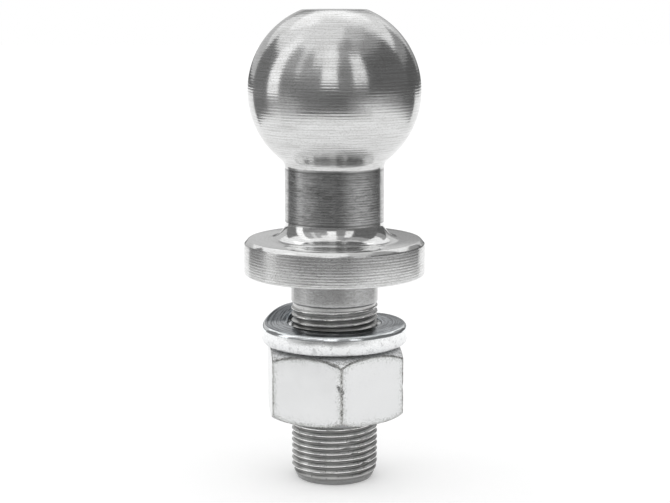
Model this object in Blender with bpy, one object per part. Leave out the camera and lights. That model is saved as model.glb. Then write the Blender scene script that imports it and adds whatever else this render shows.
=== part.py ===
"""Threaded tow ball: a ball stud turned from one forging, its split lock washer and its hexagon nut.

Metres, +Z up. The origin is the centre of the shank's end, and +Z runs along the stud to the ball.
"""

import math

import bmesh
import bpy

# Ball and neck
BALL_DIAMETER = 0.0500
BALL_RISE = 0.0532  # from the flange's underside to the ball's centre
CROWN_DIAMETER = 0.0190  # of the flat on the ball's crown
NECK_DIAMETER = 0.0288
BALL_FILLET = 0.0033
NECK_FILLET = 0.0052

# Flange
FLANGE_DIAMETER = 0.0527
FLANGE_THICKNESS = 0.0103
FLANGE_CHAMFER = 0.0012
FLANGE_EDGE_BREAK = 0.0004

# Shank and its right-hand thread, 14 turns to the inch
SHANK_DIAMETER = 0.0254
SHANK_LENGTH = 0.0611
PLAIN_LENGTH = 0.0079  # smooth shank under the flange
RELIEF_DEPTH = 0.0005  # groove between the smooth shank and the thread
RELIEF_LENGTH = 0.0008
THREAD_PITCH = 0.0254 / 14
THREAD_FLANK_ANGLE = math.radians(30)
THREAD_CREST_HEIGHT = 0.00106  # where the first crest crosses the +X side, above the shank's end
RUN_OUT_TURNS = 1.5
END_CHAMFER_DEPTH = 0.0017
END_CHAMFER_LENGTH = 0.0036

# Lock washer
GRIP_LENGTH = 0.0144  # room for the bracket's plate, from the flange to the washer
WASHER_THICKNESS = 0.0060
WASHER_WIDTH = 0.0076  # radially, from the bore to the rim
WASHER_BORE_CLEARANCE = 0.00105
WASHER_EDGE_ROUND = 0.0012
WASHER_SPRING = 0.0029  # how far the raised end stands over the flat part
WASHER_SPRING_ARC = math.radians(88)  # from the raised end to where the bend begins
WASHER_BEND_ARC = math.radians(56)
WASHER_DROP = 0.0010  # how far the low end, which rests on the nut, lies under the flat part
WASHER_DROP_ARC = math.radians(60)
WASHER_SPLIT_ANGLE = math.radians(92)
WASHER_SPLIT_WIDTH = 0.0020

# Hexagon nut
NUT_ACROSS_FLATS = 0.0381
NUT_HEIGHT = 0.0199
NUT_FACE_INSET = 0.00015  # from a flat in to the circle of the end faces
NUT_CHAMFER_ANGLE = math.radians(35)
NUT_CORNER_ANGLE = math.radians(-84.5)
NUT_COUNTERSINK = 0.0005  # beyond the thread's root
THREAD_CLEARANCE = 0.0003
SEAT_GAP = 0.0003

# Facets
ROUND_SEGMENTS = 48
THREAD_SEGMENTS = ROUND_SEGMENTS // 2
WASHER_STEPS = 32
BALL_STEPS = 14
BALL_FILLET_STEPS = 3
NECK_FILLET_STEPS = 6
JOIN_DISTANCE = 0.00003  # thread points nearer to an end ring than this join it
SHARP_ANGLE = math.radians(25)

# Heights and radii that follow
SHANK_RADIUS = SHANK_DIAMETER / 2
FLANGE_UNDERSIDE = SHANK_LENGTH
FLANGE_TOP = FLANGE_UNDERSIDE + FLANGE_THICKNESS
BALL_CENTRE = FLANGE_UNDERSIDE + BALL_RISE
THREAD_TOP = FLANGE_UNDERSIDE - PLAIN_LENGTH - RELIEF_LENGTH - RELIEF_DEPTH
CREST_RADIUS = SHANK_RADIUS
CREST_FLAT = THREAD_PITCH / 8
ROOT_FLAT = THREAD_PITCH / 4
FLANK_RUN = (THREAD_PITCH - CREST_FLAT - ROOT_FLAT) / 2
ROOT_RADIUS = CREST_RADIUS - FLANK_RUN / math.tan(THREAD_FLANK_ANGLE)
RELIEF_RADIUS = SHANK_RADIUS - RELIEF_DEPTH
END_RADIUS = SHANK_RADIUS - END_CHAMFER_DEPTH
WASHER_BASE = FLANGE_UNDERSIDE - GRIP_LENGTH - WASHER_THICKNESS
NUT_TOP = WASHER_BASE - WASHER_DROP - SEAT_GAP
NUT_BASE = NUT_TOP - NUT_HEIGHT


def clear_scene():
    for obj in list(bpy.data.objects):
        bpy.data.objects.remove(obj, do_unlink=True)


def steel(name, colour, roughness):
    """A metallic material with one colour and one roughness."""
    made = bpy.data.materials.new(name)
    made.use_nodes = True
    shader = made.node_tree.nodes["Principled BSDF"]
    shader.inputs["Base Color"].default_value = (*colour, 1.0)
    shader.inputs["Roughness"].default_value = roughness
    shader.inputs["Metallic"].default_value = 1.0
    made.diffuse_color = (*colour, 1.0)
    return made


def polar(radius, angle, height):
    return (radius * math.cos(angle), radius * math.sin(angle), height)


def arc(centre, radius, start, end, steps):
    """Points (radius, height) on an arc in the profile plane, both ends included."""
    points = []
    for step in range(steps + 1):
        angle = start + (end - start) * step / steps
        points.append((centre[0] + radius * math.cos(angle), centre[1] + radius * math.sin(angle)))
    return points


def ring(bm, radius, height, segments, turn=0.0):
    """A ring of vertices round the Z axis."""
    return [bm.verts.new(polar(radius, turn + 2 * math.pi * i / segments, height)) for i in range(segments)]


def bridge(bm, lower, upper):
    """Faces between two rings, where the upper one has as many vertices as the lower, or twice as many."""
    count, share = len(lower), len(upper) // len(lower)
    for i in range(count):
        a, b = lower[i], lower[(i + 1) % count]
        if share == 1:
            bm.faces.new((a, b, upper[(i + 1) % count], upper[i]))
            continue
        first, middle, last = upper[2 * i], upper[2 * i + 1], upper[(2 * i + 2) % len(upper)]
        bm.faces.new((a, middle, first))
        bm.faces.new((a, b, middle))
        bm.faces.new((b, last, middle))


def helical_skin(bm, lower, upper, crest, root, shaped):
    """The thread's flanks, crests and roots between two end rings.

    Every row of vertices follows the helix, one row at each edge of the crest and of the root. A row
    that has reached an end ring runs on along it. shaped(radius, height) takes the run-out and the
    chamfers off a vertex. The nut and the shank share the helix, so they are in mesh.
    """
    low, high = lower[0].co.z, upper[0].co.z
    rows = (
        (-CREST_FLAT / 2 - FLANK_RUN, root),
        (-CREST_FLAT / 2, crest),
        (CREST_FLAT / 2, crest),
        (CREST_FLAT / 2 + FLANK_RUN, root),
    )
    first = math.floor((low - THREAD_CREST_HEIGHT) / THREAD_PITCH) - 2
    last = math.ceil((high - THREAD_CREST_HEIGHT) / THREAD_PITCH) + 2
    columns = []
    for i in range(THREAD_SEGMENTS):
        turned = i / THREAD_SEGMENTS
        column = []
        for turn in range(first, last):
            for offset, radius in rows:
                height = THREAD_CREST_HEIGHT + THREAD_PITCH * (turned + turn) + offset
                if height < low + JOIN_DISTANCE:
                    column.append(lower[i])
                elif height > high - JOIN_DISTANCE:
                    column.append(upper[i])
                else:
                    place = polar(shaped(radius, height), 2 * math.pi * turned, height)
                    column.append(bm.verts.new(place))
        columns.append(column)
    # the last column meets the first one a whole pitch further up
    columns.append(columns[0][len(rows):] + [upper[0]] * len(rows))
    for here, there in zip(columns, columns[1:]):
        for k in range(len(here) - 1):
            corners = dict.fromkeys((here[k], there[k], there[k + 1], here[k + 1]))
            if len(corners) > 2:
                bm.faces.new(tuple(corners))


def finished(name, bm, base, material, parent=None):
    """An object from the mesh, with its origin on the stud's axis at the height of its base."""
    bmesh.ops.remove_doubles(bm, verts=bm.verts, dist=1e-7)
    bmesh.ops.recalc_face_normals(bm, faces=bm.faces)
    bmesh.ops.translate(bm, verts=bm.verts, vec=(0.0, 0.0, -base))
    mesh = bpy.data.meshes.new(name)
    bm.to_mesh(mesh)
    bm.free()
    mesh.materials.append(material)
    mesh.shade_smooth()
    mesh.set_sharp_from_angle(angle=SHARP_ANGLE)
    obj = bpy.data.objects.new(name, mesh)
    bpy.context.scene.collection.objects.link(obj)
    obj.parent = parent
    obj.location.z = base - (parent.matrix_world.translation.z if parent else 0.0)
    bpy.context.view_layer.update()
    return obj


def stud_profile():
    """The turned outline from the groove over the thread up to the edge of the crown's flat."""
    neck_radius = NECK_DIAMETER / 2
    flange_radius = FLANGE_DIAMETER / 2
    ball_radius = BALL_DIAMETER / 2
    top_of_relief = THREAD_TOP + RELIEF_LENGTH
    neck_fillet = min(NECK_FILLET, flange_radius - FLANGE_CHAMFER - neck_radius)
    fillet_reach = ball_radius + BALL_FILLET
    fillet_lean = math.acos((neck_radius + BALL_FILLET) / fillet_reach)
    fillet_height = BALL_CENTRE - fillet_reach * math.sin(fillet_lean)
    crown_angle = math.acos(CROWN_DIAMETER / BALL_DIAMETER)
    outline = [
        (RELIEF_RADIUS, top_of_relief),
        (SHANK_RADIUS, top_of_relief + RELIEF_DEPTH),
        (SHANK_RADIUS, FLANGE_UNDERSIDE),
        (flange_radius - FLANGE_EDGE_BREAK, FLANGE_UNDERSIDE),
        (flange_radius, FLANGE_UNDERSIDE + FLANGE_EDGE_BREAK),
        (flange_radius, FLANGE_TOP - FLANGE_CHAMFER),
        (flange_radius - FLANGE_CHAMFER, FLANGE_TOP),
    ]
    neck_corner = (neck_radius + neck_fillet, FLANGE_TOP + neck_fillet)
    outline += arc(neck_corner, neck_fillet, -math.pi / 2, -math.pi, NECK_FILLET_STEPS)
    ball_corner = (neck_radius + BALL_FILLET, fillet_height)
    outline += arc(ball_corner, BALL_FILLET, math.pi, math.pi - fillet_lean, BALL_FILLET_STEPS)
    outline += arc((0.0, BALL_CENTRE), ball_radius, -fillet_lean, crown_angle, BALL_STEPS)[1:]
    return outline


def shank_surface(radius, height):
    """A thread radius with the end's chamfer cut off it and the run-out's metal left on it."""
    cone = END_RADIUS + END_CHAMFER_DEPTH * height / END_CHAMFER_LENGTH
    run_out = THREAD_PITCH * RUN_OUT_TURNS
    left_on = ROOT_RADIUS + (RELIEF_RADIUS - ROOT_RADIUS) * (1 - (THREAD_TOP - height) / run_out)
    return min(max(radius, left_on), cone)


def make_stud(material):
    """The ball, neck, flange and threaded shank, which are one piece."""
    bm = bmesh.new()
    end = ring(bm, END_RADIUS, 0.0, THREAD_SEGMENTS)
    groove = ring(bm, RELIEF_RADIUS, THREAD_TOP, THREAD_SEGMENTS)
    bm.faces.new(end)
    helical_skin(bm, end, groove, CREST_RADIUS, ROOT_RADIUS, shank_surface)
    below = groove
    for radius, height in stud_profile():
        above = ring(bm, radius, height, ROUND_SEGMENTS)
        bridge(bm, below, above)
        below = above
    bm.faces.new(below)
    return finished("tow_ball", bm, 0.0, material)


def washer_section():
    """The washer's rounded section as (radius, height) over its base."""
    bore = SHANK_RADIUS + WASHER_BORE_CLEARANCE
    rim = bore + WASHER_WIDTH
    soft = min(WASHER_EDGE_ROUND, WASHER_THICKNESS / 3, WASHER_WIDTH / 3)
    slight = soft / 2
    section = arc((rim - soft, soft), soft, -math.pi / 2, 0.0, 2)
    section += arc((rim - soft, WASHER_THICKNESS - soft), soft, 0.0, math.pi / 2, 2)
    section += arc((bore + slight, WASHER_THICKNESS - slight), slight, math.pi / 2, math.pi, 1)
    section += arc((bore + slight, slight), slight, math.pi, 3 * math.pi / 2, 1)
    return section


def eased(share):
    """A smooth step from 0 to 1, level at both ends."""
    share = min(max(share, 0.0), 1.0)
    return share * share * (3 - 2 * share)


def washer_lift(along):
    """How far the washer's section is raised at an angle along it from its low end."""
    span = 2 * math.pi - split_angle()
    raised = eased((along - span + WASHER_SPRING_ARC) / WASHER_BEND_ARC)
    lowered = eased(1 - along / WASHER_DROP_ARC)
    return WASHER_SPRING * raised - WASHER_DROP * lowered


def split_angle():
    return WASHER_SPLIT_WIDTH / (SHANK_RADIUS + WASHER_BORE_CLEARANCE)


def make_washer(material, parent):
    """The spring steel bar, bent round from its low end on the right to its raised end on the left."""
    bm = bmesh.new()
    section = washer_section()
    span = 2 * math.pi - split_angle()
    below = None
    for step in range(WASHER_STEPS + 1):
        along = span * step / WASHER_STEPS
        angle = WASHER_SPLIT_ANGLE - split_angle() / 2 - along
        lift = WASHER_BASE + washer_lift(along)
        above = [bm.verts.new(polar(radius, angle, lift + height)) for radius, height in section]
        if below:
            bridge(bm, below, above)
        else:
            bm.faces.new(above)
        below = above
    bm.faces.new(below)
    return finished("lock_washer", bm, WASHER_BASE, material, parent)


def nut_outside(bm):
    """The nut's rings from its base to its top: end circle, chamfer's edge on the flats, and back."""
    apothem = NUT_ACROSS_FLATS / 2
    circle = apothem - NUT_FACE_INSET
    rings = [ring(bm, circle, NUT_BASE, ROUND_SEGMENTS, NUT_CORNER_ANGLE)]
    lower, upper = [], []
    for i in range(ROUND_SEGMENTS):
        angle = 2 * math.pi * i / ROUND_SEGMENTS
        across = apothem / math.cos(angle % (math.pi / 3) - math.pi / 6)
        drop = (across - circle) * math.tan(NUT_CHAMFER_ANGLE)
        lower.append(bm.verts.new(polar(across, angle + NUT_CORNER_ANGLE, NUT_BASE + drop)))
        upper.append(bm.verts.new(polar(across, angle + NUT_CORNER_ANGLE, NUT_TOP - drop)))
    rings += [lower, upper, ring(bm, circle, NUT_TOP, ROUND_SEGMENTS, NUT_CORNER_ANGLE)]
    for below, above in zip(rings, rings[1:]):
        bridge(bm, below, above)
    return rings[0], rings[-1]


def nut_surface(radius, height):
    """A bore radius opened by the countersink at each end."""
    mouth = CREST_RADIUS + THREAD_CLEARANCE + NUT_COUNTERSINK
    depth = min(height - NUT_BASE, NUT_TOP - height)
    return max(radius, mouth - depth)


def make_nut(material, parent):
    """The hexagon nut, chamfered at both ends, on the shank's own helix."""
    bm = bmesh.new()
    base, top = nut_outside(bm)
    mouth = CREST_RADIUS + THREAD_CLEARANCE + NUT_COUNTERSINK
    lower = ring(bm, mouth, NUT_BASE, THREAD_SEGMENTS)
    upper = ring(bm, mouth, NUT_TOP, THREAD_SEGMENTS)
    groove = CREST_RADIUS + THREAD_CLEARANCE
    ridge = ROOT_RADIUS + THREAD_CLEARANCE
    helical_skin(bm, lower, upper, groove, ridge, nut_surface)
    # the outside's rings start at a corner of the hexagon, so the bore's start at the nearest column
    start = round(NUT_CORNER_ANGLE / (2 * math.pi) * THREAD_SEGMENTS) % THREAD_SEGMENTS
    bridge(bm, lower[start:] + lower[:start], base)
    bridge(bm, upper[start:] + upper[:start], top)
    return finished("hex_nut", bm, NUT_TOP, material, parent)


def main():
    clear_scene()
    turned_steel = steel("turned_steel", (0.52, 0.52, 0.51), 0.28)
    zinc_plate = steel("zinc_plate", (0.80, 0.81, 0.83), 0.30)
    stud = make_stud(turned_steel)
    washer = make_washer(zinc_plate, stud)
    make_nut(zinc_plate, washer)


main()
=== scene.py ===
"""Looks of a threaded tow ball: turned steel ball stud, split lock washer and hexagon nut.

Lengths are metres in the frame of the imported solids: +Z up the stud from the centre of its end, -Y
towards the camera. Angles are radians unless a docstring says degrees, and tones are linear. In a
finish, waves are counts to a metre, turns say how often a mark changes on its way round, and a step
is the pair of values between which a mark sets in.
"""

import logging
import math
from dataclasses import dataclass, field
from enum import Enum, IntEnum
from typing import Callable, Iterable, Sequence, Union

import bmesh
import bpy
from mathutils import Matrix, Vector, noise

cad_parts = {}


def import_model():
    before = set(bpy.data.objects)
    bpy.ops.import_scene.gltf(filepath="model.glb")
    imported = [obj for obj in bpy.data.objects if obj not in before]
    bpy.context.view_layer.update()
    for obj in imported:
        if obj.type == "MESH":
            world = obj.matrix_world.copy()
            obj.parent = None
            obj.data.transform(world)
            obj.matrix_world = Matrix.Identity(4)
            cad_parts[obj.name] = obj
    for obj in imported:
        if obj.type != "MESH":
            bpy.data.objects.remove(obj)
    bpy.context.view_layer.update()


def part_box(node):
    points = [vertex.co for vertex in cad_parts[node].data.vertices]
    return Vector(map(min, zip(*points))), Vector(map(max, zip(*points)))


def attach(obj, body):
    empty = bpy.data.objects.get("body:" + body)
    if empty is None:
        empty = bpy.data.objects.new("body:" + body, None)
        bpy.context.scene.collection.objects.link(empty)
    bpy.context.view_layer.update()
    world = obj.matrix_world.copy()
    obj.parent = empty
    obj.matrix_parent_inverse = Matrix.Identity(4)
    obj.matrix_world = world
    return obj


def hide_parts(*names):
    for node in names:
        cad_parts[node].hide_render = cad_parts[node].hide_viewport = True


log = logging.getLogger("tow_ball")

Number = Union[float, "Value"]
Point = tuple[float, float]
Banded = tuple[float, float, int]
Colour = tuple[float, float, float]
Vert = bmesh.types.BMVert
Ring = Sequence[bmesh.types.BMVert]

QUARTER = math.pi / 2
SIXTH = math.pi / 3
NOISE_MIDDLE = 0.5
# Edges that fold more than this stay crisp, and points nearer than the distance become one.
SHARP_ANGLE = math.radians(32)
MERGE_DISTANCE = 1e-7
ROUNDING_CHORDS = 3
# The Mix node's sockets for colours have the same names as its others, so they are told by place.
MIX_SHARE, MIX_FIRST, MIX_SECOND, MIX_RESULT = 0, 6, 7, 2


class Value:
    """A number or vector that leaves a shader node, usable in Python expressions."""

    def __init__(self, graph: "Graph", socket: bpy.types.NodeSocket) -> None:
        """Wraps an output socket of a graph's node."""
        self.graph = graph
        self.socket = socket

    def math(self, operation: str, *others: Number) -> "Value":
        """The result of a Math node on this value and others."""
        return self.graph.maths(operation, self, *others)

    def __add__(self, other: Number) -> "Value":
        """This value plus another."""
        return self.math("ADD", other)

    def __sub__(self, other: Number) -> "Value":
        """This value minus another."""
        return self.math("SUBTRACT", other)

    def __rsub__(self, other: Number) -> "Value":
        """Another value minus this one."""
        return self.graph.maths("SUBTRACT", other, self)

    def __mul__(self, other: Number) -> "Value":
        """This value times another."""
        return self.math("MULTIPLY", other)

    def __truediv__(self, other: Number) -> "Value":
        """This value divided by another."""
        return self.math("DIVIDE", other)

    __radd__ = __add__
    __rmul__ = __mul__

    def capped(self) -> "Value":
        """This value, held at 1 or less."""
        return self.math("MINIMUM", 1.0)

    def between(self, low: float, high: float) -> "Value":
        """A smooth step from 0 to 1.

        Args:
            low: where the step starts, which may lie above high.
            high: where it ends.

        Returns:
            The step's value.
        """
        if low > high:
            return 1.0 - self.between(high, low)
        inputs = {"Value": self, "From Min": low, "From Max": high}
        return self.graph.node("ShaderNodeMapRange", {"interpolation_type": "SMOOTHSTEP"}, inputs, "Result")


class Graph:
    """The node tree of one material or world, built from Python."""

    def __init__(self, tree: bpy.types.NodeTree) -> None:
        """Empties a node tree."""
        self.tree = tree
        tree.nodes.clear()

    def node(
        self,
        kind: str,
        settings: dict[str, object] | None = None,
        inputs: dict[Union[str, int], object] | None = None,
        output: Union[str, int] = 0,
    ) -> Value:
        """Adds a node.

        Args:
            kind: the node's type.
            settings: its properties, which are set before its sockets.
            inputs: numbers, vectors or Values for its sockets, by name or by place.
            output: the output socket that is wanted.

        Returns:
            That output socket, or an input of a node that has no output.
        """
        made = self.tree.nodes.new(kind)
        for name, setting in (settings or {}).items():
            setattr(made, name, setting)
        for name, value in (inputs or {}).items():
            if isinstance(value, Value):
                self.tree.links.new(value.socket, made.inputs[name])
            else:
                made.inputs[name].default_value = value
        return Value(self, (made.outputs or made.inputs)[output])

    def maths(self, operation: str, *values: Number) -> Value:
        """The result of a Math node on numbers and Values."""
        return self.node("ShaderNodeMath", {"operation": operation}, dict(enumerate(values)))

    def split(self, vector: Value) -> tuple[Value, Value, Value]:
        """The three components of a vector."""
        parts = self.node("ShaderNodeSeparateXYZ", None, {0: vector})
        return tuple(Value(self, socket) for socket in parts.socket.node.outputs)

    def noise(self, where: Value, scale: float, detail: float = 3.0, roughness: float = 0.6) -> Value:
        """A noise between about 0.2 and 0.8.

        Args:
            where: the place that is looked up.
            scale: waves for each unit of that place.
            detail: how many finer octaves are added.
            roughness: how strong the finer octaves are.

        Returns:
            The noise's value.
        """
        inputs = {"Vector": where, "Scale": scale, "Detail": detail, "Roughness": roughness}
        return self.node("ShaderNodeTexNoise", None, inputs, "Fac")

    def blend(self, share: Number, first: Union[Colour, Value], second: Colour) -> Value:
        """A mix of two colours.

        Args:
            share: 0 for the first colour, 1 for the second.
            first: a colour, which may vary over the surface.
            second: a fixed colour.

        Returns:
            The mixed colour.
        """
        start = first if isinstance(first, Value) else (*first, 1.0)
        inputs = {MIX_SHARE: share, MIX_FIRST: start, MIX_SECOND: (*second, 1.0)}
        return self.node("ShaderNodeMix", {"data_type": "RGBA"}, inputs, MIX_RESULT)

    def bump(self, height: Value) -> Value:
        """A surface normal from a height in metres."""
        inputs = {"Strength": 1.0, "Distance": 1.0, "Height": height}
        return self.node("ShaderNodeBump", None, inputs, "Normal")


class Surface:
    """A material in the making, with the places that its finish is worked out from."""

    def __init__(self, name: str) -> None:
        """Starts a material.

        Args:
            name: the material's name.
        """
        self.material = bpy.data.materials.new(name)
        self.material.use_nodes = True
        self.graph = Graph(self.material.node_tree)

    def locate(self) -> None:
        """Finds the place, and its height and radius from the stud's axis."""
        self.place = self.graph.node("ShaderNodeTexCoord", output="Object")
        self.x, self.y, self.height = self.graph.split(self.place)
        self.radius = (self.x * self.x + self.y * self.y).math("SQRT")

    def round_noise(self, across: Value, turns: float, waves: float, detail: float = 3.0) -> Value:
        """A noise whose marks run round the stud's axis.

        Args:
            across: the distance across the marks, in metres.
            turns: how often they change on their way round.
            waves: how many there are to a metre.
            detail: how many finer octaves are added.

        Returns:
            The noise's value.
        """
        x, y = self.x / self.radius * turns, self.y / self.radius * turns
        where = self.graph.node("ShaderNodeCombineXYZ", None, {0: x, 1: y, 2: across * waves})
        return self.graph.noise(where, scale=1.0, detail=detail)

    def ended(self, inputs: dict[str, object]) -> bpy.types.Material:
        """The material, ended in a Principled shader with those inputs."""
        return self.output(self.graph.node("ShaderNodeBsdfPrincipled", None, inputs))

    def output(self, shader: Value) -> bpy.types.Material:
        """The material, showing a shader."""
        self.graph.node("ShaderNodeOutputMaterial", None, {"Surface": shader})
        return self.material


def tinted(tone: float, tint: Colour) -> Colour:
    """A grey tone with a slight tint."""
    return tuple(tone * share for share in tint)


class RingLayout(Enum):
    """The direction in which the lathe's tool fed while it cut a surface."""

    ALONG_AXIS = "along_axis"
    ACROSS_FACE = "across_face"
    ROUND_BALL = "round_ball"


@dataclass(frozen=True)
class TurnedSteel:
    """Bare steel with the fine rings that a lathe tool leaves."""

    name: str
    layout: RingLayout
    tone: float
    roughness: float
    stretch: float = 0.7
    stretch_turn: float = 0.25
    ring_pitch: float = 0.00088
    ring_depth: float = 4.0e-6
    line_tone: float = 0.4
    ring_wander: float = 0.6
    ring_swing: float = 3.0
    ring_loss: float = 0.4
    wander_turns: float = 1.0
    wander_waves: float = 900.0
    line_step: Point = (0.6, 0.0)
    gap_step: Point = (0.25, 0.6)
    scratch_depth: float = 1.6e-6
    streak_turns: float = 2.4
    streak_waves: float = 3400.0
    streak_tone: float = 0.5
    streak_step: Point = (0.42, 0.66)
    streak_roughness: float = 0.12
    grain_waves: float = 2600.0
    grain_tone: float = 0.5
    grain_step: Point = (0.48, 0.66)
    cloud_turns: float = 1.4
    cloud_waves: float = 224.0
    cloud_tone: float = 0.3
    cloud_step: Point = (0.42, 0.72)
    cloud_roughness: float = 0.08
    stain: float = 0.2
    metallic: float = 1.0
    bright_tint: Colour = (0.995, 1.0, 1.0)
    dull_tint: Colour = (1.0, 0.998, 0.985)
    ball_centre: float = 0.0
    ball_radius: float = 0.0

    def fed(self, surface: Surface) -> Value:
        """How far the tool had fed at a point.

        Args:
            surface: the surface that it cut.

        Returns:
            The distance in metres.
        """
        if self.layout is RingLayout.ALONG_AXIS:
            return surface.height
        if self.layout is RingLayout.ACROSS_FACE:
            return surface.radius
        return (surface.height - self.ball_centre).math("ARCTAN2", surface.radius) * self.ball_radius

    def material(self) -> bpy.types.Material:
        """Makes the finish's material.

        Returns:
            The material.
        """
        surface = Surface(self.name)
        surface.locate()
        fed = self.fed(surface)
        wander = surface.round_noise(fed, self.wander_turns, self.wander_waves, detail=2.0)
        streaks = surface.round_noise(fed, self.streak_turns, self.streak_waves)
        cloud = surface.round_noise(fed, self.cloud_turns, self.cloud_waves, detail=4.0)
        grain = surface.graph.noise(surface.place, self.grain_waves, detail=2.0)
        turned = surface.y.math("ARCTAN2", surface.x) / math.tau
        # Each ring is one hump of the sine, which takes half a turn.
        phase = (fed / self.ring_pitch + turned) * math.pi + wander * self.ring_wander
        wave = phase.math("SINE").math("ABSOLUTE")
        rings = wave * (wander * self.ring_swing - self.ring_loss)
        relief = rings * self.ring_depth + (streaks + grain * self.grain_tone) * self.scratch_depth
        lines = wave.between(*self.line_step) * wander.between(*self.gap_step) * self.line_tone
        darkened = cloud.between(*self.cloud_step) * self.cloud_tone + lines
        darkened = darkened + streaks.between(*self.streak_step) * self.streak_tone
        darkened = darkened + grain.between(*self.grain_step) * self.grain_tone
        bright = tinted(self.tone, self.bright_tint)
        dull = tinted(self.tone * (1.0 - self.stain), self.dull_tint)
        uneven = (streaks - NOISE_MIDDLE) * self.streak_roughness
        uneven = uneven + (cloud - NOISE_MIDDLE) * self.cloud_roughness
        return surface.ended({
            "Metallic": self.metallic,
            "Anisotropic": self.stretch,
            "Anisotropic Rotation": self.stretch_turn,
            "Base Color": surface.graph.blend(darkened.capped(), bright, dull),
            "Roughness": uneven + self.roughness,
            "Normal": surface.graph.bump(relief),
        })


@dataclass(frozen=True)
class ThreadSteel:
    """A cut thread, with a painted highlight on its crests and painted shade in its roots."""

    name: str
    crest_radius: float
    depth: float
    crest_highlight_colour: Colour = (0.95, 0.95, 0.9405)
    root_shade_colour: Colour = (0.27, 0.27, 0.2646)
    roughness: float = 0.18
    root_roughness: float = 0.2
    flank_step: Point = (0.05, 0.5)
    flank_highlight_share: float = 0.5
    crest_step: Point = (0.84, 1.0)
    crest_highlight_share: float = 0.6
    score_turns: float = 3.0
    score_waves: float = 3600.0
    score_depth: float = 16.0e-6
    score_tone: float = 0.8
    score_least: float = 0.6
    score_roughness: float = 0.1
    spot_waves: float = 1400.0
    spot_depth: float = 6.0e-6
    spot_step: Point = (0.58, 0.70)
    spot_tone: float = 0.5

    def material(self) -> bpy.types.Material:
        """Makes the finish's material.

        Returns:
            The material.
        """
        surface = Surface(self.name)
        surface.locate()
        outward = (surface.radius - (self.crest_radius - self.depth)) / self.depth
        scored = surface.round_noise(surface.height, self.score_turns, self.score_waves)
        spots = surface.graph.noise(surface.place, self.spot_waves)
        # Painted highlight on the flanks and crests, set by the radius. The roots it leaves dark are painted
        # shade, with dirt spots added.
        painted_highlight = outward.between(*self.flank_step) * self.flank_highlight_share
        painted_highlight = painted_highlight + outward.between(*self.crest_step) * self.crest_highlight_share
        darkened = 1.0 - painted_highlight * (scored * self.score_tone + self.score_least).capped()
        darkened = (darkened + spots.between(*self.spot_step) * self.spot_tone).capped()
        uneven = darkened * self.root_roughness + (scored - NOISE_MIDDLE) * self.score_roughness
        return surface.ended({
            "Metallic": 1.0,
            "Base Color": surface.graph.blend(darkened, self.crest_highlight_colour, self.root_shade_colour),
            "Roughness": uneven + self.roughness,
            "Normal": surface.graph.bump(scored * self.score_depth + spots * self.spot_depth),
        })


@dataclass(frozen=True)
class ZincPlate:
    """Bright zinc plate over rolled or forged steel."""

    name: str
    tone: Colour
    roughness: float
    metallic: float = 1.0
    cloud_waves: float = 130.0
    cloud_roughness: float = 0.12
    pebble_waves: float = 700.0
    pebble_depth: float = 2.0e-6
    brush_turns: float = 2.0
    brush_waves: float = 3000.0
    brush_depth: float = 0.0
    brush_tone: float = 0.0
    brush_step: Point = (0.45, 0.62)
    fine_waves: float = 2300.0
    fine_step: Point = (0.56, 0.40)
    coarse_waves: float = 620.0
    coarse_step: Point = (0.5, 0.62)
    coarse_share: float = 0.35
    speckle: float = 0.0
    speckle_roughness: float = 0.25
    border_wear: float = 0.0
    rub_reach: float = 0.28
    rub_step: Point = (0.66, 0.86)
    rub_share: float = 0.8
    rub_depth: float = 8.0e-6
    rub_roughness: float = 0.2
    pit_reach: float = 0.30
    pit_step: Point = (0.65, 0.69)
    dark_tone: Colour = (0.16, 0.16, 0.15)
    scuff_tone: Colour = (0.50, 0.51, 0.50)

    def material(self) -> bpy.types.Material:
        """Makes the finish's material.

        Returns:
            The material.
        """
        surface = Surface(self.name)
        surface.locate()
        graph, place = surface.graph, surface.place
        cloud = graph.noise(place, self.cloud_waves)
        pebbles = graph.noise(place, self.pebble_waves)
        fine = graph.noise(place, self.fine_waves, roughness=0.75)
        coarse = graph.noise(place, self.coarse_waves, detail=4.0, roughness=0.7)
        brushed = surface.round_noise(surface.radius, self.brush_turns, self.brush_waves)
        dirt = fine.between(*self.fine_step) + coarse.between(*self.coarse_step) * self.coarse_share
        dirt = dirt * self.speckle
        border = graph.node("ShaderNodeAttribute", {"attribute_name": "border"}, output="Fac")
        rubbed = (coarse + border * self.rub_reach).between(*self.rub_step)
        rubbed = rubbed * (self.border_wear * self.rub_share)
        pitted = (fine + border * self.pit_reach).between(*self.pit_step) * self.border_wear
        streaked = brushed.between(*self.brush_step) * self.brush_tone
        scuffed = graph.blend((rubbed + pitted + streaked).capped(), self.tone, self.scuff_tone)
        relief = pebbles * self.pebble_depth + brushed * self.brush_depth + rubbed * self.rub_depth
        uneven = dirt * self.speckle_roughness + rubbed * self.rub_roughness
        uneven = uneven + (cloud - NOISE_MIDDLE) * self.cloud_roughness
        return surface.ended({
            "Metallic": self.metallic,
            "Base Color": graph.blend(dirt.capped(), scuffed, self.dark_tone),
            "Roughness": uneven + self.roughness,
            "Normal": graph.bump(relief),
        })


Finish = Union[TurnedSteel, ThreadSteel, ZincPlate]


def linked(name: str, data: bpy.types.ID) -> bpy.types.Object:
    """An object of the scene that holds a mesh, a lamp or a camera.

    Args:
        name: the object's name.
        data: what it holds.

    Returns:
        The object.
    """
    made = bpy.data.objects.new(name, data)
    bpy.context.scene.collection.objects.link(made)
    return made


def mark_points(mesh: bpy.types.Mesh, name: str, marks: Iterable[float]) -> None:
    """Keeps a number at each point of a mesh, under a name, for its finish to read."""
    for point, mark in zip(mesh.attributes.new(name, "FLOAT", "POINT").data, marks):
        point.value = mark


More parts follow.
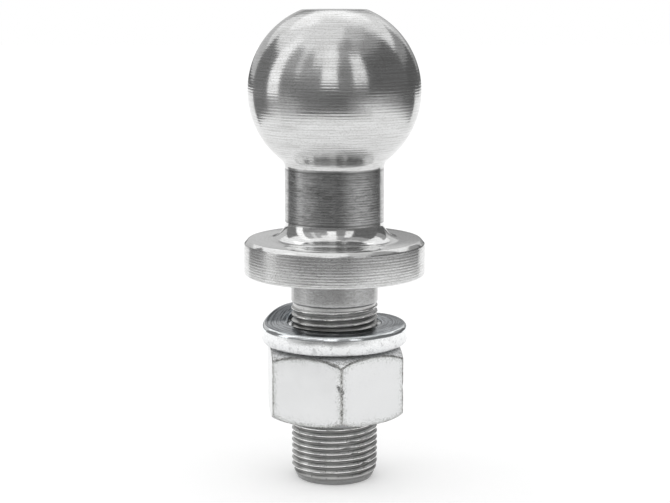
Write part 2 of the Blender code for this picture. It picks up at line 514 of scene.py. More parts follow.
class Skin:
    """A mesh in the making, built from rings of points."""

    def __init__(self) -> None:
        """Starts an empty mesh."""
        self.bm = bmesh.new()

    def point(self, radius: float, angle: float, height: float) -> Vert:
        """A vertex at a radius, angle and height."""
        return self.bm.verts.new((radius * math.cos(angle), radius * math.sin(angle), height))

    def ring(self, radius: float, height: float, count: int) -> Ring:
        """A ring of vertices round the stud's axis, anticlockwise from above."""
        return [self.point(radius, math.tau * i / count, height) for i in range(count)]

    def face(self, corners: Ring, slot: int) -> None:
        """One face, in a material slot."""
        self.bm.faces.new(corners).material_index = slot

    def bridge(self, lower: Ring, upper: Ring, slot: int) -> None:
        """Faces between two rings, where the upper one has as many points or twice as many.

        Args:
            lower: the lower or inner ring.
            upper: the upper or outer ring.
            slot: the material slot of the faces.
        """
        count, share = len(lower), len(upper) // len(lower)
        for i in range(count):
            a, b = lower[i], lower[(i + 1) % count]
            if share == 1:
                self.face((a, b, upper[(i + 1) % count], upper[i]), slot)
                continue
            first, middle, last = (upper[(2 * i + step) % len(upper)] for step in range(3))
            for corners in ((a, middle, first), (a, b, middle), (b, last, middle)):
                self.face(corners, slot)

    def finished(
        self, name: str, finishes: dict[int, Finish], border: Callable[[Vector], float] | None = None
    ) -> bpy.types.Object:
        """Turns the skin into an object, shaded smooth.

        Args:
            name: the object's name.
            finishes: the finish of each material slot.
            border: how near a point lies to a worn border, kept for the finishes to read.

        Returns:
            The object.
        """
        bmesh.ops.remove_doubles(self.bm, verts=self.bm.verts, dist=MERGE_DISTANCE)
        bmesh.ops.recalc_face_normals(self.bm, faces=self.bm.faces)
        mesh = bpy.data.meshes.new(name)
        self.bm.to_mesh(mesh)
        self.bm.free()
        for slot in sorted(finishes):
            mesh.materials.append(finishes[slot].material())
        if border:
            mark_points(mesh, "border", [border(vertex.co) for vertex in mesh.vertices])
        mesh.shade_smooth()
        mesh.set_sharp_from_angle(angle=SHARP_ANGLE)
        return linked(name, mesh)


def partway(first: float, last: float, share: float) -> float:
    """A number that lies a share of the way from the first to the last."""
    return first + (last - first) * share


def eased(share: float) -> float:
    """A smooth step from 0 to 1, level at both ends."""
    share = min(max(share, 0.0), 1.0)
    return share * share * (3 - 2 * share)


def unevenness(angle: float, along: float, turns: float, waves: float) -> float:
    """A steady noise between about -1 and 1 on a surface round the axis.

    Args:
        angle: the place's angle.
        along: its height or the like, in metres.
        turns: how often the noise changes on its way round.
        waves: how often it changes in a metre along.

    Returns:
        The noise.
    """
    return noise.noise(Vector((math.cos(angle) * turns, math.sin(angle) * turns, along * waves)))


def arc(centre: Point, radius: float, start: float, end: float, chords: int) -> list[Point]:
    """Points on an arc in the profile plane, both ends included.

    Args:
        centre: the arc's centre as (radius, height).
        radius: the arc's own radius.
        start: the angle of its first point.
        end: the angle of its last point.
        chords: how many chords it has.

    Returns:
        The points.
    """
    angles = [partway(start, end, step / chords) for step in range(chords + 1)]
    return [(centre[0] + radius * math.cos(a), centre[1] + radius * math.sin(a)) for a in angles]


def rounded(corner: Point, before: Point, after: Point, size: float) -> list[Point]:
    """A corner of an outline, eased by a short curve.

    Args:
        corner: the sharp corner as (radius, height).
        before: the outline's point before it.
        after: the outline's point after it.
        size: how far from the corner the curve starts.

    Returns:
        The curve's points.
    """
    middle = Vector(corner)
    start = middle + (Vector(before) - middle).normalized() * size
    end = middle + (Vector(after) - middle).normalized() * size
    points = []
    for step in range(ROUNDING_CHORDS + 1):
        t = step / ROUNDING_CHORDS
        points.append(tuple(start * (1 - t) ** 2 + middle * (2 * t * (1 - t)) + end * t ** 2))
    return points


def banded(points: Iterable[Point], slot: int) -> list[Banded]:
    """Points of an outline with the material slot of their bands."""
    return [(*point, slot) for point in points]


@dataclass(frozen=True)
class ThreadForm:
    """The right-hand thread that the shank and the nut share, 14 turns to the inch.

    Its points that would lie past an end ring, or nearer to one than the join, fall on that ring.
    """

    pitch: float = 0.0254 / 14
    crest_radius: float = 0.0127
    crest_height: float = 0.00106
    flank_angle: float = math.radians(30)
    depth_share: float = 5 / 8
    segments: int = 96
    join: float = 0.00002
    spare_turns: int = 2
    # (share of the pitch from the crest's middle, share of the full depth)
    form: tuple[Point, ...] = (
        (-0.42, 1.0), (-0.365, 0.94), (-0.085, 0.07), (-0.045, 0.0),
        (0.045, 0.0), (0.085, 0.07), (0.365, 0.94), (0.42, 1.0),
    )

    @property
    def depth(self) -> float:
        """The depth from crest to root, a share of the flanks' full triangle."""
        return self.pitch / 2 / math.tan(self.flank_angle) * self.depth_share

    def wind(
        self,
        skin: Skin,
        lower: Ring,
        upper: Ring,
        offset: float,
        shaped: Callable[[float, float, float], float],
        slot: int,
        plain_slot: int = 0,
        plain_below: float = -1.0,
    ) -> None:
        """Covers the helix between two end rings.

        Args:
            skin: the mesh that the thread goes into.
            lower: the ring where the thread starts.
            upper: the ring where it ends.
            offset: clearance added to every radius.
            shaped: takes radius, angle and height, and gives the radius with chamfers and dents.
            slot: the thread's material slot.
            plain_slot: the material slot of the plain cone at the lower end.
            plain_below: the height where that cone ends.
        """
        low, high = lower[0].co.z, upper[0].co.z
        first = math.floor((low - self.crest_height) / self.pitch) - self.spare_turns
        last = math.ceil((high - self.crest_height) / self.pitch) + self.spare_turns
        columns = []
        for i in range(self.segments):
            turned = i / self.segments
            angle = math.tau * turned
            column = []
            for turn in range(first, last):
                for share, depth in self.form:
                    height = self.crest_height + self.pitch * (turned + turn + share)
                    radius = self.crest_radius + offset - self.depth * depth
                    if height < low + self.join:
                        column.append(lower[i])
                    elif height > high - self.join:
                        column.append(upper[i])
                    else:
                        column.append(skin.point(shaped(radius, angle, height), angle, height))
            columns.append(column)
        columns.append(columns[0][len(self.form):] + [upper[0]] * len(self.form))
        for here, there in zip(columns, columns[1:]):
            for k in range(len(here) - 1):
                corners = tuple(dict.fromkeys((here[k], there[k], there[k + 1], here[k + 1])))
                if len(corners) > 2:
                    top = max(vertex.co.z for vertex in corners)
                    skin.face(corners, plain_slot if top < plain_below else slot)


@dataclass(frozen=True)
class Dent:
    """A small nick in a surface, with half its length and half its width.

    A lean of 0 runs up and down, and a positive one tips the nick's top towards the right. The angle and
    the lean are degrees.
    """

    angle: float
    height: float
    length: float
    width: float
    depth: float
    lean: float = 0.0

    def cut(self, angle: float, height: float, radius: float) -> float:
        """How deep the nick is at a point.

        Args:
            angle: the point's angle.
            height: its height.
            radius: the surface's radius there.

        Returns:
            The depth.
        """
        lean = math.radians(self.lean)
        across = ((angle - math.radians(self.angle) + math.pi) % math.tau - math.pi) * radius
        up = height - self.height
        along = up * math.cos(lean) + across * math.sin(lean)
        beside = across * math.cos(lean) - up * math.sin(lean)
        away = math.hypot(along / self.length, beside / self.width)
        return self.depth * max(0.0, 1.0 - away * away)


class StudSlot(IntEnum):
    """The stud's material slots."""

    THREAD = 0
    SHANK = 1
    RIM = 2
    FACE = 3
    NECK = 4
    BALL = 5
    UNDERSIDE = 6
    # Painted shade: a dark copy of the steel, on thin bands at both ends of the neck and on the shank's end
    # and plain end cone.
    PAINTED_SHADE = 7


@dataclass
class BallStud:
    """The ball, neck, flange and threaded shank, turned from one forging."""

    ball_diameter: float = 0.0500
    crown_diameter: float = 0.0190
    crown_round: float = 0.0002
    neck_diameter: float = 0.0288
    # The width of the painted shade bands at both ends of the neck.
    neck_shade_band: float = 0.0005
    neck_fillet: float = 0.0052
    ball_fillet: float = 0.0033
    flange_diameter: float = 0.0527
    flange_thickness: float = 0.0103
    flange_chamfer: float = 0.0012
    chamfer_round: float = 0.0003
    flange_edge_break: float = 0.0004
    break_round: float = 0.00015
    shank_length: float = 0.0611
    shank_round: float = 0.0002
    plain_length: float = 0.0079
    relief_depth: float = 0.0005
    relief_length: float = 0.0008
    run_out_turns: float = 1.5
    end_chamfer_depth: float = 0.0017
    end_chamfer_length: float = 0.0036
    end_round: float = 0.0003
    end_round_height: float = 0.00012
    shank_bands: int = 6
    neck_fillet_chords: int = 20
    ball_fillet_chords: int = 8
    ball_chords: int = 96
    thread: ThreadForm = field(default_factory=ThreadForm)
    wear: float = 0.00002
    wear_swing: float = 0.00004
    wear_turns: float = 9.0
    wear_waves: float = 2600.0
    dents: tuple[Dent, ...] = (
        Dent(-66, 0.01343, 0.0007, 0.0014, 0.0007),
        Dent(-71, 0.01159, 0.0007, 0.0021, 0.0008),
        Dent(-63, 0.0098, 0.0006, 0.0011, 0.0007),
        Dent(-45, 0.0063, 0.0007, 0.0014, 0.0008),
        Dent(-128, 0.0150, 0.0006, 0.0008, 0.00016),
        Dent(40, 0.0090, 0.0008, 0.0012, 0.00022),
        Dent(118, 0.0130, 0.0009, 0.0009, 0.00020),
    )

    def __post_init__(self) -> None:
        """Takes the crown's height from the frame and works out what follows."""
        self.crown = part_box("tow_ball")[1].z
        self.ball_radius = self.ball_diameter / 2
        self.ball_centre = self.crown - math.sqrt(self.ball_radius ** 2 - (self.crown_diameter / 2) ** 2)
        self.flange_top = self.shank_length + self.flange_thickness
        self.thread_top = self.shank_length - self.plain_length - self.relief_length - self.relief_depth
        self.relief_radius = self.thread.crest_radius - self.relief_depth

    def finishes(self) -> dict[int, Finish]:
        """Lists the finishes.

        Returns:
            The finish of each material slot.
        """
        along, across = RingLayout.ALONG_AXIS, RingLayout.ACROSS_FACE
        return {
            StudSlot.THREAD: ThreadSteel("thread_steel", self.thread.crest_radius, self.thread.depth),
            StudSlot.SHANK: TurnedSteel(
                "shank_steel", along, tone=0.55, roughness=0.24, ring_pitch=0.00042, ring_depth=1.6e-6,
                scratch_depth=2.6e-6, stain=0.32, grain_tone=0.9, streak_turns=5.0),
            StudSlot.RIM: TurnedSteel(
                "flange_rim_steel", along, tone=0.82, roughness=0.25, stretch=0.6, ring_pitch=0.00080,
                ring_depth=12.0e-6, scratch_depth=3.0e-6, stain=0.36, line_tone=0.65, grain_tone=0.8,
                streak_turns=5.0),
            StudSlot.FACE: TurnedSteel(
                "flange_face_steel", across, tone=0.84, roughness=0.12, stretch=0.2, ring_pitch=0.00060,
                ring_depth=1.6e-6, scratch_depth=1.4e-6, line_tone=0.3),
            StudSlot.NECK: TurnedSteel(
                "neck_steel", along, tone=0.63, roughness=0.22, stretch=0.3, ring_pitch=0.00077,
                ring_depth=5.0e-6, scratch_depth=9.0e-6, stain=0.64, line_tone=0.45, grain_tone=0.30,
                streak_turns=4.0),
            StudSlot.BALL: TurnedSteel(
                "ball_steel", RingLayout.ROUND_BALL, tone=0.73, roughness=0.17, stretch=0.5,
                ring_depth=12.0e-6, scratch_depth=2.2e-6, stain=0.30, line_tone=0.45, grain_tone=0.6,
                ball_centre=self.ball_centre, ball_radius=self.ball_radius),
            # Painted light: a near-white, half-matte copy of the stud's steel on the flange's underside, so
            # that the washer below reflects it brighter.
            StudSlot.UNDERSIDE: TurnedSteel(
                "underside_painted_light_steel", across, tone=0.95, roughness=0.45, stretch=0.0, ring_pitch=0.00060,
                ring_depth=3.0e-6, metallic=0.35),
            # Painted shade: the stud's steel made much darker, for the bands at the neck's ends and the
            # shank's end.
            StudSlot.PAINTED_SHADE: TurnedSteel("painted_shade_steel", along, tone=0.36, roughness=0.24, stretch=0.3),
        }

    def shank_outline(self) -> list[Banded]:
        """Works out the outline from the groove over the thread to the flange's underside.

        Returns:
            Its points, with the slot of the band below each.
        """
        shank, rim, base = self.thread.crest_radius, self.flange_diameter / 2, self.shank_length
        relief_top = self.thread_top + self.relief_length
        groove = (self.relief_radius, relief_top)
        foot, head = (shank, relief_top + self.relief_depth), (shank, base)
        step = (base - relief_top) / self.shank_bands
        outline = banded([groove], StudSlot.THREAD)
        outline += banded(rounded(foot, groove, head, self.shank_round), StudSlot.SHANK)
        outline += banded([(shank, foot[1] + step * k) for k in range(1, self.shank_bands)], StudSlot.SHANK)
        return outline + banded(rounded(head, foot, (rim, base), self.shank_round), StudSlot.SHANK)

    def flange_outline(self) -> list[Banded]:
        """Works out the outline from the flange's underside to the end of the neck's fillet.

        Returns:
            Its points, with the slot of the band below each.
        """
        neck, rim = self.neck_diameter / 2, self.flange_diameter / 2
        base, top = self.shank_length, self.flange_top
        head = (self.thread.crest_radius, base)
        broken, edge = (rim - self.flange_edge_break, base), (rim, base + self.flange_edge_break)
        low, high = (rim, top - self.flange_chamfer), (rim - self.flange_chamfer, top)
        fillet = (neck + self.neck_fillet, top + self.neck_fillet)
        outline = banded(rounded(broken, head, edge, self.break_round), StudSlot.UNDERSIDE)
        outline += banded(rounded(edge, broken, low, self.break_round), StudSlot.RIM)
        outline += banded(rounded(low, edge, high, self.chamfer_round), StudSlot.RIM)
        outline += banded(rounded(high, low, (neck, top), self.chamfer_round), StudSlot.FACE)
        curve = arc(fillet, self.neck_fillet, -QUARTER, -math.pi, self.neck_fillet_chords)
        return outline + banded(curve, StudSlot.FACE)

    def ball_outline(self) -> list[Banded]:
        """Works out the outline from the neck to the flat on the crown.

        Returns:
            Its points, with the slot of the band below each.
        """
        neck = self.neck_diameter / 2
        reach = self.ball_radius + self.ball_fillet
        lean = math.acos((neck + self.ball_fillet) / reach)
        under = (neck + self.ball_fillet, self.ball_centre - reach * math.sin(lean))
        fillet = arc(under, self.ball_fillet, math.pi, math.pi - lean, self.ball_fillet_chords)
        crown_angle = math.acos(self.crown_diameter / self.ball_diameter)
        ball = arc((0.0, self.ball_centre), self.ball_radius, -lean, crown_angle, self.ball_chords)
        outline = [
            # Thin bands of painted shade where the neck meets its fillets.
            (neck, self.flange_top + self.neck_fillet + self.neck_shade_band, StudSlot.PAINTED_SHADE),
            (neck, under[1] - self.neck_shade_band, StudSlot.NECK),
            (neck, under[1], StudSlot.PAINTED_SHADE),
        ]
        crown = rounded(ball[-1], ball[-2], (0.0, self.crown), self.crown_round)
        return outline + banded(fillet[1:] + ball[1:-1] + crown, StudSlot.BALL)

    def shank_surface(self, radius: float, angle: float, height: float) -> float:
        """The thread's surface with the end's chamfer, the run-out, wear and nicks.

        Args:
            radius: the radius of the plain thread.
            angle: the angle round the shank.
            height: the height.

        Returns:
            The radius that is left.
        """
        crest = self.thread.crest_radius
        cone = crest - self.end_chamfer_depth * (1 - height / self.end_chamfer_length)
        risen = 1 - (self.thread_top - height) / (self.thread.pitch * self.run_out_turns)
        left_on = partway(crest - self.thread.depth, self.relief_radius, risen)
        worn = self.wear + self.wear_swing * unevenness(angle, height, self.wear_turns, self.wear_waves)
        cut = sum(dent.cut(angle, height, radius) for dent in self.dents)
        return min(max(radius, left_on), cone, crest - max(worn, 0.0) - cut)

    def build(self) -> bpy.types.Object:
        """Makes the stud.

        Returns:
            The stud's object.
        """
        skin = Skin()
        # The shank's end and the plain cone below its thread take the painted shade.
        count, shade_slot = self.thread.segments, StudSlot.PAINTED_SHADE
        end_radius = self.thread.crest_radius - self.end_chamfer_depth
        inset = skin.ring(end_radius - self.end_round, 0.0, count)
        end = skin.ring(end_radius, self.end_round_height, count)
        skin.face(inset, shade_slot)
        skin.bridge(inset, end, shade_slot)
        below = skin.ring(self.relief_radius, self.thread_top, count)
        cone_top = self.end_chamfer_length * (1 - self.thread.depth / self.end_chamfer_depth)
        self.thread.wind(skin, end, below, 0.0, self.shank_surface, StudSlot.THREAD, shade_slot, cone_top)
        for radius, height, slot in self.shank_outline() + self.flange_outline() + self.ball_outline():
            above = skin.ring(radius, height, count * 2)
            skin.bridge(below, above, slot)
            below = above
        skin.face(below, StudSlot.BALL)
        made = skin.finished("ball_stud_turned", self.finishes())
        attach(made, "ball_stud")
        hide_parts("tow_ball")
        return made


class WasherSlot(IntEnum):
    """The washer's material slots."""

    SIDE = 0
    # The top face has a painted shade finish, darker than the rest of the zinc.
    TOP = 1
    CUT = 2
    ROUNDING = 3


@dataclass
class LockWasher:
    """The split spring washer, with one end sprung up at the rear left."""

    shank_radius: float = ThreadForm.crest_radius
    bore_clearance: float = 0.00105
    width: float = 0.0076
    edge_round: float = 0.0013
    bore_round: float = 0.0005
    spring: float = 0.0029
    spring_arc: float = math.radians(88)
    bend_arc: float = math.radians(56)
    drop: float = 0.0010
    drop_arc: float = math.radians(60)
    split_angle: float = math.radians(92)
    split_width: float = 0.0020
    dish: float = 0.0003
    wave_depth: float = 0.00006
    wave_turns: float = 2.2
    wave_waves: float = 264.0
    border_width: float = 0.0014
    steps: int = 200
    foot_chords: int = 7
    top_chords: int = 9
    rounding_bands: int = 7
    bore_chords: int = 4

    def __post_init__(self) -> None:
        """Takes the washer's heights from the frame and works out what follows."""
        low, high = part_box("lock_washer")
        self.base = low.z + self.drop
        self.thickness = high.z - self.spring - self.base
        self.bore = self.shank_radius + self.bore_clearance
        self.gap = self.split_width / self.bore
        self.span = math.tau - self.gap

    @staticmethod
    def finishes() -> dict[int, Finish]:
        """Lists the finishes.

        Returns:
            The finish of each material slot.
        """
        return {
            WasherSlot.SIDE: ZincPlate(
                "washer_side_zinc", (0.97, 0.98, 0.985), roughness=0.14, pebble_depth=3.4e-6,
                pebble_waves=1100.0, speckle=0.20, border_wear=0.7, scuff_tone=(0.66, 0.67, 0.68)),
            # Painted shade: a darker, cooler copy of the zinc on the top face, standing in for the dark
            # reflection of the flange and shank.
            WasherSlot.TOP: ZincPlate(
                "washer_top_painted_shade_zinc", (0.47, 0.50, 0.53), roughness=0.10, pebble_depth=0.8e-6,
                brush_depth=24.0e-6, brush_tone=1.3, brush_waves=1800.0, speckle=0.3,
                scuff_tone=(0.12, 0.14, 0.16)),
            WasherSlot.CUT: ZincPlate(
                "washer_cut_zinc", (0.55, 0.56, 0.57), roughness=0.4, pebble_depth=8.0e-6, speckle=0.5),
            WasherSlot.ROUNDING: ZincPlate(
                "washer_round_zinc", (0.93, 0.96, 0.98), roughness=0.10, pebble_depth=3.0e-6,
                brush_depth=2.0e-6, speckle=0.2),
        }

    def section(self) -> list[Banded]:
        """The bar's rounded section, anticlockwise, with heights over the base.

        Returns:
            Its points, with the material slot of the face after each.
        """
        rim, soft, slight, thick = self.bore + self.width, self.edge_round, self.bore_round, self.thickness
        foot = arc((rim - soft, soft), soft, -QUARTER, 0.0, self.foot_chords)
        upper = arc((rim - soft, thick - self.dish - soft), soft, 0.0, QUARTER, self.top_chords)
        bore_top = arc((self.bore + slight, thick - slight), slight, QUARTER, math.pi, self.bore_chords)
        bore_foot = arc((self.bore + slight, slight), slight, math.pi, 3 * QUARTER, self.bore_chords)
        points = banded(foot, WasherSlot.SIDE)
        points += banded(upper[:self.rounding_bands], WasherSlot.ROUNDING)
        points += banded(upper[self.rounding_bands:] + bore_top[:-1], WasherSlot.TOP)
        return points + banded(bore_top[-1:] + bore_foot, WasherSlot.SIDE)

    def lift(self, along: float) -> float:
        """How far the section is raised at an angle along the bar from its low end."""
        raised = eased((along - self.span + self.spring_arc) / self.bend_arc)
        return self.spring * raised - self.drop * eased(1 - along / self.drop_arc)

    def border(self, place: Vector) -> float:
        """How near a point of the rim lies to the bottom edge.

        Args:
            place: the point.

        Returns:
            0 far away, 1 on the edge.
        """
        turned = (self.split_angle - math.atan2(place.y, place.x)) % math.tau
        over = place.z - self.base - self.lift(turned - self.gap / 2)
        return math.exp(-max(over - self.edge_round / 2, 0.0) / self.border_width)

    def build(self) -> bpy.types.Object:
        """Makes the washer.

        Returns:
            The washer's object.
        """
        skin = Skin()
        section = self.section()
        below = None
        for step in range(self.steps + 1):
            along = self.span * step / self.steps
            angle = self.split_angle - self.gap / 2 - along
            rise = self.base + self.lift(along)
            above = []
            for radius, height, _ in section:
                dip = abs(unevenness(angle, height, self.wave_turns, self.wave_waves)) * self.wave_depth
                above.append(skin.point(radius - dip, angle, rise + height - dip / 2))
            if below is None:
                skin.face(above, WasherSlot.CUT)
            else:
                for k, (_, _, slot) in enumerate(section):
                    after = (k + 1) % len(section)
                    skin.face((below[k], below[after], above[after], above[k]), slot)
            below = above
        skin.face(below, WasherSlot.CUT)
        made = skin.finished("split_lock_washer", self.finishes(), self.border)
        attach(made, "washer")
        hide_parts("lock_washer")
        return made


class NutSlot(IntEnum):
    """The nut's material slots."""

    FLAT = 0
    EDGE = 1
    CHAMFER = 2
    THREAD = 3
    FOOT = 4


@dataclass
class HexNut:
    """The hexagon nut, chamfered at both ends, with its own thread."""

    across_flats: float = 0.0381
    face_inset: float = 0.00015
    chamfer_angle: float = math.radians(33)
    chamfer_dome: float = 1.8
    corner_angle: float = math.radians(-84.5)
    corner_round: float = 0.00038
    corner_bulge: float = 0.5
    edge_round: float = 0.00026
    edge_share: float = 0.45
    edge_start: float = 0.25
    least_chamfer: float = 0.00005
    border_width: float = 0.0014
    countersink: float = 0.0005
    clearance: float = 0.0003
    ragged_depth: float = 0.00010
    ragged_turns: float = 30.0
    ragged_waves: float = 1600.0
    chamfer_rows: int = 6
    flat_rows: int = 60
    flat_columns: int = 36
    corner_columns: int = 6
    thread: ThreadForm = field(default_factory=ThreadForm)
    dents: tuple[Dent, ...] = (
        Dent(-85.3, 0.0320, 0.0021, 0.0008, 0.00042, -20),
        Dent(-91.3, 0.0385, 0.0004, 0.0006, 0.00025),
        Dent(-24, 0.0290, 0.0012, 0.0007, 0.00035),
        Dent(-145, 0.0331, 0.0014, 0.0006, 0.00035, 15),
        Dent(36, 0.0262, 0.0016, 0.0007, 0.00040, -18),
        Dent(96, 0.0330, 0.0010, 0.0009, 0.00040),
    )

    def __post_init__(self) -> None:
        """Takes the nut's heights from the frame and works out what follows."""
        low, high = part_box("hex_nut")
        self.base, self.top = low.z, high.z
        self.apothem = self.across_flats / 2
        self.circle = self.apothem - self.face_inset
        self.corner = self.apothem / math.cos(SIXTH / 2)
        self.corner_half = self.corner_round / self.corner
        self.chamfer_fall = (self.corner - self.circle) * math.tan(self.chamfer_angle)
        self.mouth = self.thread.crest_radius + self.clearance + self.countersink

    @staticmethod
    def finishes() -> dict[int, Finish]:
        """Lists the finishes.

        Returns:
            The finish of each material slot.
        """
        return {
            NutSlot.FLAT: ZincPlate(
                "nut_flat_zinc", (0.755, 0.761, 0.764), roughness=0.2, pebble_depth=0.8e-6, border_wear=0.8),
            NutSlot.EDGE: ZincPlate(
                "nut_edge_zinc", (0.64, 0.64, 0.63), roughness=0.34, pebble_depth=10.0e-6, speckle=0.95,
                metallic=0.85),
            # Painted light: a near-white, hardly metallic copy of the zinc on the top chamfer and the end
            # faces, which lifts the shade under the washer.
            NutSlot.CHAMFER: ZincPlate(
                "nut_chamfer_painted_light_zinc", (0.97, 0.98, 0.99), roughness=0.46, pebble_depth=3.0e-6,
                brush_depth=6.0e-6, brush_tone=0.4, speckle=0.6, metallic=0.08),
            NutSlot.THREAD: ZincPlate("nut_thread_zinc", (0.60, 0.60, 0.60), roughness=0.3, speckle=0.3),
            NutSlot.FOOT: ZincPlate(
                "nut_foot_zinc", (0.52, 0.53, 0.54), roughness=0.4, pebble_depth=3.0e-6, speckle=0.5),
        }

    def drop(self, radius: float) -> float:
        """How far the domed chamfer lies below the nut's face at a radius."""
        share = max(radius - self.circle, 0.0) / (self.corner - self.circle)
        return self.chamfer_fall * share ** self.chamfer_dome

    def angles(self) -> list[tuple[float, bool]]:
        """The columns round the nut.

        Returns:
            Angles from the first corner's middle, and whether each lies in a rounded corner.
        """
        half = self.corner_half
        corner = [partway(-half, half, k / self.corner_columns) for k in range(self.corner_columns)]
        shares = [(1 - math.cos(math.pi * k / self.flat_columns)) / 2 for k in range(self.flat_columns)]
        columns = []
        for side in range(6):
            start = side * SIXTH
            columns += [(start + angle, True) for angle in corner]
            columns += [(start + partway(half, SIXTH - half, share), False) for share in shares]
        return columns

    def across(self, angle: float) -> float:
        """The distance from the axis to the nut's side.

        Args:
            angle: the angle from a corner.

        Returns:
            The distance, with the corner rounded.
        """
        away = abs((angle + SIXTH / 2) % SIXTH - SIXTH / 2)
        if away >= self.corner_half:
            return self.apothem / math.cos(SIXTH / 2 - away)
        edge = self.apothem / math.cos(SIXTH / 2 - self.corner_half)
        bulge = self.corner_bulge * (1 - (away / self.corner_half) ** 2)
        return partway(edge, self.corner, bulge)

    def column(self, across: float) -> list[Banded]:
        """One side of the nut from the top circle to the bottom one.

        Args:
            across: the distance from the axis to that side.

        Returns:
            Points as (radius, height, slot of the band above it).
        """
        soft = min(self.edge_round, max(across - self.circle, self.least_chamfer) * self.edge_share)
        rows, edge = self.chamfer_rows, self.drop(across)
        slopes = [partway(self.circle, across - soft, k / rows) for k in range(rows + 1)]
        falls = [(radius, self.drop(radius)) for radius in slopes]
        falls += [(across - soft * self.edge_start, edge), (across, edge + soft)]
        slots = [NutSlot.CHAMFER] * (rows + 1) + [NutSlot.EDGE] * 2
        points = [(radius, self.top - fall, slot) for (radius, fall), slot in zip(falls, slots)]
        high, low, flat = self.top - edge - soft, self.base + edge + soft, NutSlot.FLAT
        points += [(across, partway(high, low, k / self.flat_rows), flat) for k in range(1, self.flat_rows)]
        slots = [flat] + [NutSlot.EDGE] * 2 + [NutSlot.FOOT] * rows
        points += [(radius, self.base + fall, slot) for (radius, fall), slot in zip(falls[::-1], slots)]
        return points

    def border(self, place: Vector) -> float:
        """How near a point of a flat lies to the flat's border.

        Args:
            place: the point.

        Returns:
            0 far inside, 1 on the border.
        """
        turned = (math.atan2(place.y, place.x) - self.corner_angle) % SIXTH - SIXTH / 2
        beside = self.apothem * (math.tan(SIXTH / 2) - abs(math.tan(turned)))
        fall = self.drop(place.xy.length)
        above, below = self.top - fall - place.z, place.z - self.base - fall
        return math.exp(-max(min(beside, above, below), 0.0) / self.border_width)

    def outside(self, skin: Skin) -> tuple[Ring, Ring]:
        """Makes the outer skin.

        Args:
            skin: the mesh that it goes into.

        Returns:
            Its top ring and its bottom ring.
        """
        columns = []
        for angle, in_corner in self.angles():
            turned = angle + self.corner_angle
            column = []
            for radius, height, slot in self.column(self.across(angle)):
                worn = sum(dent.cut(turned, height, radius) for dent in self.dents)
                if in_corner or slot != NutSlot.FLAT:
                    ragged = unevenness(turned, height, self.ragged_turns, self.ragged_waves)
                    worn += abs(ragged) * self.ragged_depth
                column.append((skin.point(radius - worn, turned, height), slot))
            columns.append((column, in_corner))
        for (here, corner), (there, _) in zip(columns, columns[1:] + columns[:1]):
            for k in range(len(here) - 1):
                slot = here[k + 1][1]
                corners = (here[k][0], here[k + 1][0], there[k + 1][0], there[k][0])
                skin.face(corners, NutSlot.EDGE if corner and slot == NutSlot.FLAT else slot)
        return [column[0][0] for column, _ in columns], [column[-1][0] for column, _ in columns]

    def bore_surface(self, radius: float, angle: float, height: float) -> float:
        """A bore radius, at any angle, opened by the countersink at each end."""
        return max(radius, self.mouth - min(height - self.base, self.top - height))

    def build(self) -> bpy.types.Object:
        """Makes the nut.

        Returns:
            The nut's object.
        """
        skin = Skin()
        top, base = self.outside(skin)
        lower = skin.ring(self.mouth, self.base, self.thread.segments)
        upper = skin.ring(self.mouth, self.top, self.thread.segments)
        self.thread.wind(skin, lower, upper, self.clearance, self.bore_surface, NutSlot.THREAD)
        for rings in ((lower, base), (upper, top)):
            edges = []
            for ring in rings:
                for ends in zip(ring, ring[1:] + ring[:1]):
                    edges.append(skin.bm.edges.get(ends) or skin.bm.edges.new(ends))
            for part in bmesh.ops.triangle_fill(skin.bm, use_beauty=True, edges=edges)["geom"]:
                if isinstance(part, bmesh.types.BMFace):
                    part.material_index = NutSlot.CHAMFER
        made = skin.finished("hexagon_nut", self.finishes(), self.border)
        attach(made, "nut")
        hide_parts("hex_nut")
        return made


@dataclass(frozen=True)
class Flag:
    """A curved panel of the studio that only reflections see.

    Azimuths are degrees from the camera's side, positive to the right, and elevations are degrees.
    """

    name: str
    azimuth: Point
    elevation: Point
    level: float


@dataclass(frozen=True)
class Sheet:
    """A grey ring of the ground that only reflections see, beyond the white paper's edge.

    Reach is how near and how far it lies. Its stops are pairs of an azimuth in degrees, as on a flag,
    and a brightness, with an even change from stop to stop.
    """

    name: str
    reach: Point
    stops: tuple[Point, ...]


@dataclass(frozen=True)
class Softbox:
    """A rectangular lamp that faces the object, lights the floor and shows in no reflection.

    Its azimuth and elevation are degrees, its size is width and height, and its power is watts.
    """

    name: str
    azimuth: float
    elevation: float
    size: Point
    power: float


